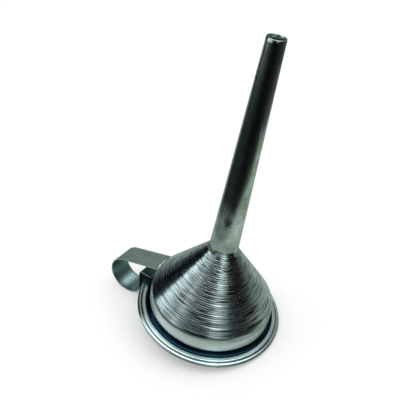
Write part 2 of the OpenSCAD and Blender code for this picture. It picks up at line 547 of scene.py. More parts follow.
@dataclass(frozen=True)
class TurnedZinc(MetalFinish):
    """Zinc-plated steel worked on a lathe, whose marks run round the axis."""

    turn_mm: float = 10.0

    def along_grain(self, tree: bpy.types.NodeTree) -> Feed:
        """Swaps the place for one whose first two axes only say which way round the piece a point is.

        Args:
            tree: The material's tree.

        Returns:
            The swapped place, in metres.
        """
        place = add_node(tree, "ShaderNodeTexCoord").outputs["Object"]
        x, y, z = add_node(tree, "ShaderNodeSeparateXYZ", {0: place}).outputs
        flat = add_node(tree, "ShaderNodeCombineXYZ", {0: x, 1: y})
        reach = add_node(tree, "ShaderNodeVectorMath", {0: flat}, operation="LENGTH").outputs["Value"]
        rise = add_node(tree, "ShaderNodeMath", {0: z, 1: reach}, operation="SUBTRACT")
        around = add_node(tree, "ShaderNodeVectorMath", {0: flat}, operation="NORMALIZE")
        turned = add_node(
            tree, "ShaderNodeVectorMath", {0: around, "Scale": self.turn_mm * MM}, operation="SCALE"
        )
        way_x, way_y, _ = add_node(tree, "ShaderNodeSeparateXYZ", {0: turned}).outputs
        return add_node(tree, "ShaderNodeCombineXYZ", {0: way_x, 1: way_y, 2: rise})

    def grain_scale(self) -> Point3:
        """Stretches the marks round the piece."""
        fine = 1 / (self.grain_mm * MM)
        return (fine / self.grain_stretch, fine / self.grain_stretch, fine)

    def tangent(self, tree: bpy.types.NodeTree) -> Feed:
        """Points along the wall's slope, square to the turning marks.

        Args:
            tree: The material's tree.

        Returns:
            The direction.
        """
        place = add_node(tree, "ShaderNodeTexCoord").outputs["Object"]
        face = add_node(tree, "ShaderNodeNewGeometry").outputs["Normal"]
        axis = (0.0, 0.0, 1.0)
        circle = add_node(tree, "ShaderNodeVectorMath", {0: axis, 1: place}, operation="CROSS_PRODUCT")
        slope = add_node(tree, "ShaderNodeVectorMath", {0: circle, 1: face}, operation="CROSS_PRODUCT")
        return add_node(tree, "ShaderNodeVectorMath", {0: slope}, operation="NORMALIZE")


@dataclass(frozen=True)
class SpunBowlZinc(TurnedZinc):
    """The bowl's finish: painted shade in the cove, dirt with painted shade in grooves and scores, a painted
    pale sheen on the collar and knuckle, and painted shade round the lower weld.
    """

    # Painted shade: the cove between the collar and the flange is coloured dark, for the shade and dark
    # reflection that fill it.
    cove_shade: str = "#0f2936"
    cove_outer_mm: Point2 = (45.0, 44.75)
    cove_inner_mm: Point2 = (41.3, 41.5)
    cove_top_mm: Point2 = (7.5, 6.5)
    cove_foot_mm: Point2 = (2.6, 3.0)
    cove_wander_mm: float = 1.2
    # Dirt with painted shade: groove bottoms and score lines are coloured near black.
    crevice_dirt_and_shade: str = "#161a1a"
    groove_levels: Point2 = (-0.7, -1.5)
    groove_share: float = 0.5
    score_mm: float = 0.6
    score_turns: float = 2.0
    score_levels: Point2 = (0.46, 0.4)
    score_foot_mm: Point2 = (14.0, 17.0)
    score_share: float = 0.9
    # Painted reflection: a pale matt band on the collar and knuckle stands in for the light they mirror.
    collar_sheen: str = "#b9c2ba"
    sheen_foot_mm: Point2 = (7.3, 8.6)
    sheen_top_mm: Point2 = (15.9, 14.9)
    sheen_wander_mm: float = 1.5
    sheen_edge_mm: float = 6.0
    sheen_mottle_mm: float = 1.8
    sheen_thinnest: float = 0.72
    sheen_bareness: float = 0.45
    # Painted shade: the bowl is coloured near black round the lower weld, under the strap.
    weld_shade: str = "#0a1414"
    weld_shade_place_mm: Point3 = (-48.0, 0.0, 3.0)
    weld_shade_reach_mm: Point2 = (17.5, 12.5)
    weld_shade_top_mm: Point2 = (9.0, 6.0)
    weld_shade_wander_mm: float = 5.0
    weld_shade_share: float = 0.9
    edge_mm: float = 5.0

    def stains(self, tree: bpy.types.NodeTree) -> list[tuple[Feed, str]]:
        """Gives the painted shade in the cove, dirt with painted shade in grooves and scores, the painted
        pale sheen, and the painted shade round the lower weld.

        Args:
            tree: The material's tree.

        Returns:
            The share and the colour of each mark, lowest first.
        """
        place = add_node(tree, "ShaderNodeTexCoord").outputs["Object"]
        x, y, z = add_node(tree, "ShaderNodeSeparateXYZ", {0: place}).outputs
        flat = add_node(tree, "ShaderNodeCombineXYZ", {0: x, 1: y})
        reach = add_node(tree, "ShaderNodeVectorMath", {0: flat}, operation="LENGTH").outputs["Value"]
        wander = add_node(
            tree, "ShaderNodeTexNoise", {"Vector": place, "Scale": 1 / (self.edge_mm * MM), "Detail": 3.0}
        )
        edge = add_node(
            tree, "ShaderNodeMath", {0: wander, 1: self.cove_wander_mm * MM, 2: z}, operation="MULTIPLY_ADD"
        )
        # Mask of the cove, where dark shade is painted.
        cove: Feed | float = 1.0
        for source, limits in (
            (reach, self.cove_outer_mm),
            (reach, self.cove_inner_mm),
            (edge, self.cove_top_mm),
            (z, self.cove_foot_mm),
        ):
            step = add_node(tree, "ShaderNodeMapRange", {0: source, **span(limits)})
            cove = add_node(tree, "ShaderNodeMath", {0: cove, 1: step}, operation="MULTIPLY")

        # Groove bottoms are darkened as dirt with painted shade.
        groove = add_node(tree, "ShaderNodeAttribute", attribute_name=GROOVE, attribute_type="GEOMETRY")
        low = add_node(
            tree,
            "ShaderNodeMapRange",
            {0: groove.outputs["Fac"], **span(self.groove_levels, 1), 4: self.groove_share},
        )
        # Score lines are darkened the same way, as dirt with painted shade.
        around = self.score_turns / (self.turn_mm * MM)
        spot = add_node(
            tree,
            "ShaderNodeMapping",
            {"Vector": self.along_grain(tree), "Scale": (around, around, 1 / (self.score_mm * MM))},
        )
        line = add_node(tree, "ShaderNodeTexNoise", {"Vector": spot, "Scale": 1.0, "Detail": 1.0})
        score = add_node(
            tree, "ShaderNodeMapRange", {0: line, **span(self.score_levels, 1), 4: self.score_share}
        )
        above = add_node(tree, "ShaderNodeMapRange", {0: z, **span(self.score_foot_mm)})
        cut = add_node(tree, "ShaderNodeMath", {0: score, 1: above}, operation="MULTIPLY")

        # Painted shade on the bowl round the lower weld, where the strap shades it.
        weld = tuple(v * MM for v in self.weld_shade_place_mm)
        away = add_node(tree, "ShaderNodeVectorMath", {0: place, 1: weld}, operation="DISTANCE")
        blurred = add_node(
            tree,
            "ShaderNodeMath",
            {0: wander, 1: self.weld_shade_wander_mm * MM, 2: away.outputs["Value"]},
            operation="MULTIPLY_ADD",
        )
        near = add_node(
            tree, "ShaderNodeMapRange", {0: blurred, **span(self.weld_shade_reach_mm), 4: self.weld_shade_share}
        )
        under = add_node(tree, "ShaderNodeMapRange", {0: z, **span(self.weld_shade_top_mm)})
        weld_shaded = add_node(tree, "ShaderNodeMath", {0: near, 1: under}, operation="MULTIPLY")
        return [
            (cove, self.cove_shade),
            (low, self.crevice_dirt_and_shade),
            (cut, self.crevice_dirt_and_shade),
            (self.collar_sheen_share(tree), self.collar_sheen),
            (weld_shaded, self.weld_shade),
        ]

    def collar_sheen_share(self, tree: bpy.types.NodeTree) -> Feed:
        """Finds the collar and knuckle, where a pale matt band is painted to stand in for the light they
        mirror.

        Args:
            tree: The material's tree.

        Returns:
            How strong the painted sheen is, as a share.
        """
        # The band where the pale sheen is painted.
        place = add_node(tree, "ShaderNodeTexCoord").outputs["Object"]
        height = add_node(tree, "ShaderNodeSeparateXYZ", {0: place}).outputs[2]
        wander = add_node(
            tree,
            "ShaderNodeTexNoise",
            {"Vector": place, "Scale": 1 / (self.sheen_edge_mm * MM), "Detail": 4.0},
        )
        edge = add_node(
            tree,
            "ShaderNodeMath",
            {0: wander, 1: self.sheen_wander_mm * MM, 2: height},
            operation="MULTIPLY_ADD",
        )
        low = add_node(tree, "ShaderNodeMapRange", {0: edge, **span(self.sheen_foot_mm)})
        high = add_node(tree, "ShaderNodeMapRange", {0: edge, **span(self.sheen_top_mm)})
        band = add_node(tree, "ShaderNodeMath", {0: low, 1: high}, operation="MULTIPLY")
        mottle = add_node(
            tree,
            "ShaderNodeTexNoise",
            {"Vector": place, "Scale": 1 / (self.sheen_mottle_mm * MM), "Detail": 5.0, "Roughness": 0.7},
        )
        thick = add_node(
            tree, "ShaderNodeMapRange", {0: mottle, 1: 0.3, 2: 0.7, 3: self.sheen_thinnest, 4: 1.0}
        )
        return add_node(tree, "ShaderNodeMath", {0: band, 1: thick}, operation="MULTIPLY")

    def bareness(self, tree: bpy.types.NodeTree) -> Feed:
        """Makes the painted pale sheen partly non-metal, so that it takes soft light.

        Args:
            tree: The material's tree.

        Returns:
            How bare the metal is, as a share.
        """
        return add_node(
            tree, "ShaderNodeMapRange", {0: self.collar_sheen_share(tree), 3: 1.0, 4: self.sheen_bareness}
        )


@dataclass(frozen=True)
class RolledSheetZinc(MetalFinish):
    """Zinc-plated sheet rolled to a tube, with lengthwise rolling marks, small pits and flux stains."""

    pit: str = "#2a2a20"
    pit_spacing_mm: float = 4.0
    pit_levels: Point2 = (0.10, 0.06)
    pit_group_mm: float = 9.0
    pit_group_levels: Point2 = (0.52, 0.6)
    pit_share: float = 0.7
    flux_and_shade: str = "#14170f"
    flux_azimuth: float = -74.0
    flux_height_mm: float = 82.6
    flux_reach_mm: float = 8.9
    flux_stretch: Point3 = (1.0, 1.0, 0.75)
    flux_ragged_mm: float = 1.6
    flux_wander_mm: float = 6.0
    flux_edge_mm: Point2 = (6.4, 3.6)
    flux_and_shade_share: float = 0.9
    oxide_share: float = 0.22
    oxide_streak: float = 0.6
    oxide_wander_mm: float = 26.0
    oxide_top_mm: Point2 = (111.0, 89.0)

    def grain_scale(self) -> Point3:
        """Stretches the marks along Z, the way the sheet was rolled."""
        fine = 1 / (self.grain_mm * MM)
        return (fine, fine, fine / self.grain_stretch)

    def stains(self, tree: bpy.types.NodeTree) -> list[tuple[Feed, str]]:
        """Gives small dark pits in groups, and the flux burnt on above the foot.

        Args:
            tree: The material's tree.

        Returns:
            The share and the colour of each mark, lowest first.
        """
        place = add_node(tree, "ShaderNodeTexCoord").outputs["Object"]
        cells = add_node(
            tree,
            "ShaderNodeTexVoronoi",
            {"Vector": place, "Scale": 1 / (self.pit_spacing_mm * MM), "Randomness": 1.0},
            feature="F1",
        )
        spot = add_node(
            tree, "ShaderNodeMapRange", {0: cells.outputs["Distance"], **span(self.pit_levels, 1)}
        )
        rare = add_node(
            tree,
            "ShaderNodeTexNoise",
            {"Vector": place, "Scale": 1 / (self.pit_group_mm * MM), "Detail": 2.0},
        )
        chosen = add_node(
            tree, "ShaderNodeMapRange", {0: rare, **span(self.pit_group_levels, 1), 4: self.pit_share}
        )
        pitted = add_node(tree, "ShaderNodeMath", {0: spot, 1: chosen}, operation="MULTIPLY")

        turn = math.radians(self.flux_azimuth)
        centre = (
            self.flux_reach_mm * MM * math.cos(turn),
            self.flux_reach_mm * MM * math.sin(turn),
            self.flux_height_mm * MM,
        )
        off = add_node(tree, "ShaderNodeVectorMath", {0: place, 1: centre}, operation="SUBTRACT")
        long = add_node(tree, "ShaderNodeVectorMath", {0: off, 1: self.flux_stretch}, operation="MULTIPLY")
        away = add_node(tree, "ShaderNodeVectorMath", {0: long}, operation="LENGTH")
        ragged = add_node(
            tree,
            "ShaderNodeTexNoise",
            {"Vector": place, "Scale": 1 / (self.flux_ragged_mm * MM), "Detail": 4.0, "Roughness": 0.7},
        )
        reach = add_node(
            tree,
            "ShaderNodeMath",
            {0: ragged, 1: self.flux_wander_mm * MM, 2: away.outputs["Value"]},
            operation="MULTIPLY_ADD",
        )
        burnt = add_node(
            tree, "ShaderNodeMapRange", {0: reach, **span(self.flux_edge_mm), 4: self.flux_and_shade_share}
        )
        return [(pitted, self.pit), (burnt, self.flux_and_shade)]

    def bareness(self, tree: bpy.types.NodeTree) -> Feed:
        """Lets a thin streaky oxide grow up the tube from the heated foot.

        Args:
            tree: The material's tree.

        Returns:
            How bare the metal is, as a share.
        """
        place = add_node(tree, "ShaderNodeTexCoord").outputs["Object"]
        height = add_node(tree, "ShaderNodeSeparateXYZ", {0: place}).outputs[2]
        streak = add_node(
            tree,
            "ShaderNodeTexNoise",
            {"Vector": self.grain_vector(tree), "Scale": self.oxide_streak, "Detail": 3.0},
        )
        edge = add_node(
            tree,
            "ShaderNodeMath",
            {0: streak, 1: self.oxide_wander_mm * MM, 2: height},
            operation="MULTIPLY_ADD",
        )
        return add_node(
            tree,
            "ShaderNodeMapRange",
            {0: edge, **span(self.oxide_top_mm), 3: 1.0, 4: 1.0 - self.oxide_share},
            interpolation_type="SMOOTHSTEP",
        )


@dataclass(frozen=True)
class StrapZinc(MetalFinish):
    """Zinc-plated strap cut from sheet, with fine marks along its length, painted shade on part of its ring's
    bend and on its lower leg by the weld, and a scorched upper end.
    """

    # Near black: painted shade on the lower leg, and the scorch at the strap's upper end.
    flux_and_shade: str = "#070f0e"
    leg_shade_start_mm: Point2 = (87.5, 91.0)
    leg_shade_end_mm: Point2 = (105.5, 102.6)
    flux_and_shade_share: float = 0.98
    leg_shade_left: float = 0.25
    # Painted shade: part of the ring's bend is coloured darker and more teal, for the dark it mirrors.
    bend_shade: str = "#6f8f90"
    bend_mm: Point2 = (34.0, 46.0)
    bend_share: float = 0.7
    scorch_mm: Point2 = (2.9, 2.1)
    scorch_ragged_mm: float = 1.5
    scorch_wander_mm: float = 2.5
    scorch_share: float = 0.85

    def along_grain(self, tree: bpy.types.NodeTree) -> Feed:
        """Reads the strap's own UV map, whose first axis runs along it."""
        return add_node(tree, "ShaderNodeUVMap", uv_map=STRIP)

    def stains(self, tree: bpy.types.NodeTree) -> list[tuple[Feed, str]]:
        """Gives painted shade on part of the ring's bend, painted shade on the lower leg by its weld, and the
        scorched end.

        Args:
            tree: The material's tree.

        Returns:
            The share and the colour of each mark, lowest first.
        """
        along = add_node(tree, "ShaderNodeSeparateXYZ", {0: self.along_grain(tree)}).outputs[0]
        # Painted shade on part of the ring's bend.
        bent = add_node(
            tree,
            "ShaderNodeMapRange",
            {0: along, **span(self.bend_mm), 4: self.bend_share},
            interpolation_type="SMOOTHSTEP",
        )
        # Painted shade on the lower leg near its weld.
        start = add_node(
            tree, "ShaderNodeMapRange", {0: along, **span(self.leg_shade_start_mm), 4: self.flux_and_shade_share}
        )
        end = add_node(
            tree, "ShaderNodeMapRange", {0: along, **span(self.leg_shade_end_mm), 3: self.leg_shade_left, 4: 1.0}
        )
        burnt = add_node(tree, "ShaderNodeMath", {0: start, 1: end}, operation="MULTIPLY")
        wander = add_node(
            tree,
            "ShaderNodeTexNoise",
            {"Vector": self.along_grain(tree), "Scale": 1 / (self.scorch_ragged_mm * MM), "Detail": 3.0},
        )
        edge = add_node(
            tree,
            "ShaderNodeMath",
            {0: wander, 1: self.scorch_wander_mm * MM, 2: along},
            operation="MULTIPLY_ADD",
        )
        scorched = add_node(
            tree, "ShaderNodeMapRange", {0: edge, **span(self.scorch_mm), 4: self.scorch_share}
        )
        return [(bent, self.bend_shade), (burnt, self.flux_and_shade), (scorched, self.flux_and_shade)]


@dataclass(frozen=True)
class WeldMetal(MetalFinish):
    """Weld metal as laid, with burnt scale between its drops."""

    scale: str = "#15180e"
    scale_mm: float = 1.1
    scale_levels: Point2 = (0.53, 0.47)
    scale_share: float = 0.95

    def stains(self, tree: bpy.types.NodeTree) -> list[tuple[Feed, str]]:
        """Blackens ragged patches of the bead.

        Args:
            tree: The material's tree.

        Returns:
            The share and the colour of each mark, lowest first.
        """
        place = add_node(tree, "ShaderNodeTexCoord").outputs["Object"]
        patch = add_node(
            tree, "ShaderNodeTexNoise", {"Vector": place, "Scale": 1 / (self.scale_mm * MM), "Detail": 2.0}
        )
        share = add_node(
            tree, "ShaderNodeMapRange", {0: patch, **span(self.scale_levels, 1), 4: self.scale_share}
        )
        return [(share, self.scale)]

# ---------------------------------------------------------------- sheet-metal walls


@dataclass(frozen=True)
class Bend:
    """One bend of a wall's middle line: its centre, its radius, and its first and last angle."""

    across: float
    up: float
    radius: float
    start: float
    end: float

    def points(self, side: float, step: float) -> list[Point2]:
        """Gives the bend's points on one side of the wall.

        Args:
            side: Distance from the middle line, outwards when positive.
            step: Largest angle between two points.

        Returns:
            Points as across and up.
        """
        sweep = self.end - self.start
        count = math.ceil(abs(sweep) / step)
        radius = self.radius + (-side if sweep > 0 else side)
        angles = [self.start + (sweep * i / count if count else 0) for i in range(count + 1)]
        return [
            (self.across + radius * math.cos(math.radians(a)), self.up + radius * math.sin(math.radians(a)))
            for a in angles
        ]


@dataclass(frozen=True)
class SheetWall:
    """A wall of sheet metal, drawn along its middle line as bends joined by straight stretches."""

    bends: tuple[Bend, ...]
    thickness: float
    arc_step: float = 8.0
    edge_round: float = 0.15
    edge_steps: int = 5

    def side(self, offset: float, spacing: float) -> list[Point2]:
        """Gives one side of the wall, with its straight stretches divided.

        Args:
            offset: Distance from the middle line.
            spacing: Largest distance between two points of a straight stretch.

        Returns:
            Points as across and up.
        """
        corners = [p for bend in self.bends for p in bend.points(offset, self.arc_step)]
        made = [corners[0]]
        for here, there in zip(corners, corners[1:]):
            count = max(1, math.ceil(math.dist(here, there) / spacing))
            made += [
                (here[0] + (there[0] - here[0]) * i / count, here[1] + (there[1] - here[1]) * i / count)
                for i in range(1, count + 1)
            ]
        return made

    def edge(self, first: Point2, last: Point2, inner: Point2) -> list[Point2]:
        """Rounds the cut edge between the wall's two sides.

        Args:
            first: Where one side ends.
            last: Where the other side starts.
            inner: A point of the wall behind the edge.

        Returns:
            The points between first and last.
        """
        a, b = np.array(first), np.array(last)
        middle, half = (a + b) / 2, (a - b) / 2
        out = np.array([-half[1], half[0]])
        out /= np.linalg.norm(out)
        if np.dot(out, middle - np.array(inner)) < 0:
            out = -out
        angles = np.linspace(0, math.pi, self.edge_steps + 2)[1:-1]
        return [tuple(middle + half * math.cos(t) + out * self.edge_round * math.sin(t)) for t in angles]

    def outline(self, outer_spacing: float, inner_spacing: float) -> list[Point2]:
        """Gives the wall's closed outline, with rounded cut edges.

        Args:
            outer_spacing: Largest step along the outside's straight stretches.
            inner_spacing: The same for the inside.

        Returns:
            Points as across and up, in order.
        """
        outer = self.side(self.thickness / 2, outer_spacing)
        inner = self.side(-self.thickness / 2, inner_spacing)[::-1]
        outer, inner = self.pulled_back(outer), self.pulled_back(inner)
        far = self.edge(outer[-1], inner[0], outer[-2])
        near = self.edge(inner[-1], outer[0], inner[-2])
        return outer + far + inner + near

    def pulled_back(self, points: list[Point2]) -> list[Point2]:
        """Shortens both ends of a side by the depth of the rounded edge.

        Args:
            points: The side's points, in order.

        Returns:
            The same side, with its ends moved in.
        """
        made = [np.array(p) for p in points]
        for end, following in ((0, 1), (-1, -2)):
            step = made[following] - made[end]
            length = np.linalg.norm(step)
            made[end] = made[end] + step / length * min(self.edge_round, length / 2)
        return [tuple(p) for p in made]


@dataclass(frozen=True)
class Turning:
    """How a wall's outline is turned: how finely, how far out of true and how grooved."""

    segments: int
    path_radius: float
    waviness: float = 0.0
    wave_length: float = 60.0
    groove_pitch: float = 1.0
    groove_depth: float = 0.0
    groove_start: float = 0.0
    groove_end: float = 1.0
    seed: int = 1

    def make(self, name: str, outline: Sequence[Point2], material: bpy.types.Material) -> bpy.types.Object:
        """Turns an outline about Z.

        Args:
            name: The piece's name.
            outline: Closed outline as across and up, in millimetres.
            material: The finish.

        Returns:
            The closed piece.
        """
        points = np.array([(across - self.path_radius, -up, 0.0) for across, up in outline])
        edges = [(i, (i + 1) % len(points)) for i in range(len(points))]
        piece = mesh_object(name, points, edges=edges)
        tree = bpy.data.node_groups.get("turned_wall") or turned_wall_tree()
        run_tree(
            piece,
            tree,
            {
                "Segments": self.segments,
                "Path Radius": self.path_radius * MM,
                "Groove Pitch": self.groove_pitch * MM,
                "Groove Depth": self.groove_depth * MM,
                "Groove Start": self.groove_start * MM,
                "Groove End": self.groove_end * MM,
                "Waviness": self.waviness * MM,
                "Wave Length": self.wave_length * MM,
                "Seed": self.seed,
                "Material": material,
            },
        )
        return piece


def settle(piece: bpy.types.Object, slot: Slot, *nodes: str) -> None:
    """Rides a finished piece on the funnel's body, and hides and logs the CAD nodes it stands for.

    Args:
        piece: The finished object.
        slot: The record's material slot; not used.
        *nodes: CAD nodes that the piece replaces.
    """
    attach(piece, BODY)
    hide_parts(*nodes)
    LOG.info("%s: %d faces, stands for %s", piece.name, len(piece.data.polygons), ", ".join(nodes))


# ---------------------------------------------------------------- the bowl


@dataclass(frozen=True)
class Bowl:
    """The spun cone with its collar, flange and rolled rim, and the wire inside the rim."""

    rim_radius: float = 50.0
    collar_radius: float = 42.0
    sheet: float = 0.6
    half_angle: float = 38.7
    apex_z: float = 68.6
    knuckle_radius: float = 7.0
    flange_z: float = 3.3
    neck_radius: float = 7.5
    neck_top_z: float = 66.0
    neck_fillet: float = 1.0
    cove_radius: float = 2.1
    ridge_radius: float = 0.7
    cove_dip: float = 15.0
    wire_radius: float = 0.8
    wire_play: float = 0.05
    rest_land: float = 0.3
    curl_close: float = 38.0
    turn_down_radius: float = 0.8
    finish: MetalFinish = field(
        # Zinc plate spun over a former: pale blue-green, glossy along the marks and streaked across them.
        default_factory=lambda: SpunBowlZinc(
            name="zinc_plated_steel_spun",
            bright="#c8dcdf",
            dull="#9fb6b7",
            smooth=0.14,
            rough=0.22,
            anisotropy=0.8,
            patch_mm=16.0,
            # The roller's finer marks are 0.1 mm apart; they are drawn at 0.45 mm so that they show.
            grain_mm=0.45,
            grain_depth_mm=0.012,
            grain_stretch=9.0,
        )
    )
    wire_finish: MetalFinish = field(
        # Bare drawn wire: darker and browner than the plate, seen only from beneath.
        default_factory=lambda: TurnedZinc(
            name="mild_steel_wire_drawn",
            bright="#9a9a93",
            dull="#6d6a63",
            smooth=0.3,
            rough=0.5,
            patch_mm=5.0,
        )
    )

    def cone_radius(self, z: float) -> float:
        """Gives the cone's outside radius at a height."""
        return (self.apex_z - z) * math.tan(math.radians(self.half_angle))

    def cone_height(self, radius: float) -> float:
        """Gives the height of the cone's outside at a radius."""
        return self.apex_z - radius / math.tan(math.radians(self.half_angle))

    def curl(self) -> Point3:
        """Gives the rim roll's inner centre, outer centre and height.

        Returns:
            Two distances from the axis and a height.
        """
        room = self.wire_radius + self.wire_play
        outer = self.rim_radius - room - self.sheet
        return outer - self.rest_land, outer, room + self.sheet

    def wall(self) -> SheetWall:
        """Draws the bowl's sheet from the neck's top to the end of the rim's roll.

        Returns:
            The wall, before it is turned.
        """
        half = self.sheet / 2
        cone = math.radians(self.half_angle)
        neck_across = self.neck_radius + self.neck_fillet
        neck_up = self.apex_z + (self.neck_fillet - neck_across * math.cos(cone)) / math.sin(cone)
        knuckle_across = self.collar_radius - self.knuckle_radius
        knuckle_up = self.apex_z - (self.knuckle_radius + knuckle_across * math.cos(cone)) / math.sin(cone)
        dip = math.radians(self.cove_dip)
        ridge_up = self.flange_z - self.ridge_radius
        cove_up = ridge_up + (self.cove_radius + self.ridge_radius) * math.cos(dip)
        cove_across = self.collar_radius + self.cove_radius
        ridge_across = cove_across + (self.cove_radius + self.ridge_radius) * math.sin(dip)
        inner_curl, outer_curl, curl_up = self.curl()
        room = self.wire_radius + self.wire_play
        return SheetWall(
            (
                Bend(self.neck_radius - half, self.neck_top_z, 0, 0, 0),
                Bend(neck_across, neck_up, self.neck_fillet + half, 180, 180 + self.half_angle),
                Bend(knuckle_across, knuckle_up, self.knuckle_radius - half, self.half_angle, 0),
                Bend(cove_across, cove_up, self.cove_radius + half, 180, 270 + self.cove_dip),
                Bend(ridge_across, ridge_up, self.ridge_radius - half, 90 + self.cove_dip, 90),
                Bend(
                    inner_curl - room - self.turn_down_radius,
                    self.flange_z - self.turn_down_radius,
                    self.turn_down_radius - half,
                    90,
                    0,
                ),
                Bend(inner_curl, curl_up, room + half, 180, 270),
                Bend(outer_curl, curl_up, room + half, 270, 450 + self.curl_close),
            ),
            self.sheet,
        )

    def build(self) -> None:
        """Builds the bowl and its rim wire."""
        # The roller's grooves are finer; they are drawn 1 mm apart so that they show.
        pitch = 1.0
        outside_step = pitch / math.cos(math.radians(self.half_angle)) / 4
        inside_step = 3.0
        shell = Turning(
            segments=224,
            path_radius=30.0,
            waviness=0.12,
            wave_length=45.0,
            groove_pitch=pitch,
            groove_depth=0.06,
            groove_start=16.5,
            groove_end=59.0,
            seed=4,
        ).make(
            "spun_bowl",
            self.wall().outline(outside_step, inside_step),
            self.finish.build(),
        )
        settle(shell, Slot.SPUN_ZINC, "bowl")

        inner_curl, outer_curl, curl_up = self.curl()
        middle = (inner_curl + outer_curl) / 2
        ring = [
            (middle + self.wire_radius * math.cos(t), curl_up + self.wire_radius * math.sin(t))
            for t in np.linspace(0, math.tau, 24, endpoint=False)
        ]
        wire = Turning(segments=160, path_radius=middle).make("rim_wire_ring", ring, self.wire_finish.build())
        settle(wire, Slot.STEEL_WIRE, "rim_wire")


# ---------------------------------------------------------------- the spout


@dataclass(frozen=True)
class Spout:
    """The long tapered tube, its lengthwise joint and the solder that holds it on the bowl.

    The seam's filler is sunk by one depth at its edges and another at its foot. Where the solder has run
    out, its reach, and the angle of its top on the lip, are as in the pairs' first and last numbers:
    the reach grows from the first to the last, and the top drops from the first to the last.
    """

    bowl: Bowl
    base_radius: float = 9.35
    tip_radius: float = 5.3
    top_z: float = 193.0
    sheet: float = 0.7
    lip_radius: float = 1.8
    lip_turn: float = 75.0
    clearance: float = 0.02
    seam_azimuth: float = 118.0
    seam_width: float = 2.4
    seam_rise: float = 0.3
    seam_end_gap: float = 1.5
    seam_run_out: float = 2.0
    seam_sunk: Point2 = (0.05, 0.12)
    solder_start: float = -15.0
    solder_sweep: float = 283.0
    solder_run_out: float = 9.0
    solder_reach: Point2 = (9.2, 10.3)
    solder_top: Point2 = (-15.0, -45.0)
    solder_root: float = -60.0
    solder_sunk: Point2 = (0.1, 0.12)
    solder_bulge: Point2 = (0.11, 0.088)
    finish: MetalFinish = field(
        # Zinc plate rolled from flat sheet: near-mirror with faint lengthwise streaks, so it goes dark
        # where it faces a dark floor.
        default_factory=lambda: RolledSheetZinc(
            name="zinc_plated_sheet_rolled",
            bright="#cadcd8",
            dull="#7b8f89",
            smooth=0.14,
            rough=0.28,
            patch_mm=11.0,
            grain_mm=0.7,
            grain_depth_mm=0.013,
            grain_stretch=28.0,
        )
    )
    solder_finish: MetalFinish = field(
        # Soft solder run in with an iron: grey, a little yellow, dull and lumpy.
        default_factory=lambda: MetalFinish(
            name="soft_solder_run",
            bright="#b4bdb2",
            dull="#6b7470",
            smooth=0.3,
            rough=0.55,
            patch_mm=2.2,
            grain_mm=0.8,
            grain_depth_mm=0.08,
            grain_stretch=1.0,
        )
    )

    def lip(self) -> tuple[float, float]:
        """Gives the centre of the lip's bend, across and up.

        Returns:
            The centre's distance from the axis and its height.
        """
        turn = math.radians(self.lip_turn)
        across = self.base_radius - self.lip_radius
        end = across + self.lip_radius * math.cos(turn)
        return across, self.bowl.cone_height(end) + self.lip_radius * math.sin(turn) + 2 * self.clearance

    def radius(self, z: float) -> float:
        """Gives the tube's outside radius at a height."""
        low = self.lip()[1]
        return self.base_radius + (self.tip_radius - self.base_radius) * (z - low) / (self.top_z - low)

    def taper(self) -> float:
        """Gives the angle between the tube's side and its axis."""
        return math.degrees(math.atan((self.base_radius - self.tip_radius) / (self.top_z - self.lip()[1])))

    def tube(self) -> bpy.types.Object:
        """Builds the tube with its turned-in lip.

        Returns:
            The closed tube.
        """
        across, up = self.lip()
        wall = SheetWall(
            (
                Bend(self.tip_radius - self.sheet / 2, self.top_z, 0, 0, 0),
                Bend(across, up, self.lip_radius - self.sheet / 2, self.taper(), -self.lip_turn),
            ),
            self.sheet,
        )
        return Turning(segments=160, path_radius=7.0, waviness=0.1, wave_length=28.0, seed=9).make(
            "rolled_spout", wall.outline(2.0, 4.0), self.finish.build()
        )

    def seam(self) -> bpy.types.Object:
        """Builds the low crowned run of filler on the tube's lengthwise joint.

        Returns:
            The filler, sunk a little into the tube.
        """
        low, high = self.lip()[1] + self.seam_end_gap, self.top_z - self.seam_end_gap
        edge_sunk, foot_sunk = self.seam_sunk
        azimuth = math.radians(self.seam_azimuth)
        outward = np.array([math.cos(azimuth), math.sin(azimuth), 0])
        sideways = np.array([-math.sin(azimuth), math.cos(azimuth), 0])
        rings = []
        for z in np.linspace(low, high, 320):
            run_out = math.sqrt(min(1.0, min(z - low, high - z) / self.seam_run_out + 0.02))
            # Lumps 1.1 mm and 0.35 mm long, on a run whose width changes over 1.7 mm.
            lump = 1 + wobble(0.35, 0.0, z / 1.1) + wobble(0.2, 3.0, z / 0.35)
            half = self.seam_width / 2 * run_out * (1 + wobble(0.16, 7.0, z / 1.7))
            rise = (self.seam_rise + edge_sunk) * run_out * min(lump, 1.1)
            section = [(a, math.sqrt(self.radius(z) ** 2 - (a * half) ** 2)) for a in np.linspace(-1, 1, 13)]
            crown = [
                outward * (skin - edge_sunk + rise * (1 - a * a)) + sideways * a * half for a, skin in section
            ]
            foot = [outward * (skin - foot_sunk) + sideways * a * half for a, skin in section[-2:0:-1]]
            rings.append([p + np.array([0, 0, z]) for p in crown + foot])
        piece = loft("spout_joint_filler", np.array(rings))
        piece.data.materials.append(self.solder_finish.build())
        return piece

    def lip_point(self, radius: float, angle: float) -> Point2:
        """Gives the point, across and up, at a radius and an angle about the centre of the lip's bend.

        Args:
            radius: Distance from the bend's centre.
            angle: Angle from level, in degrees.

        Returns:
            The point's distance from the axis and its height.
        """
        across, up = self.lip()
        turn = math.radians(angle)
        return across + radius * math.cos(turn), up + radius * math.sin(turn)

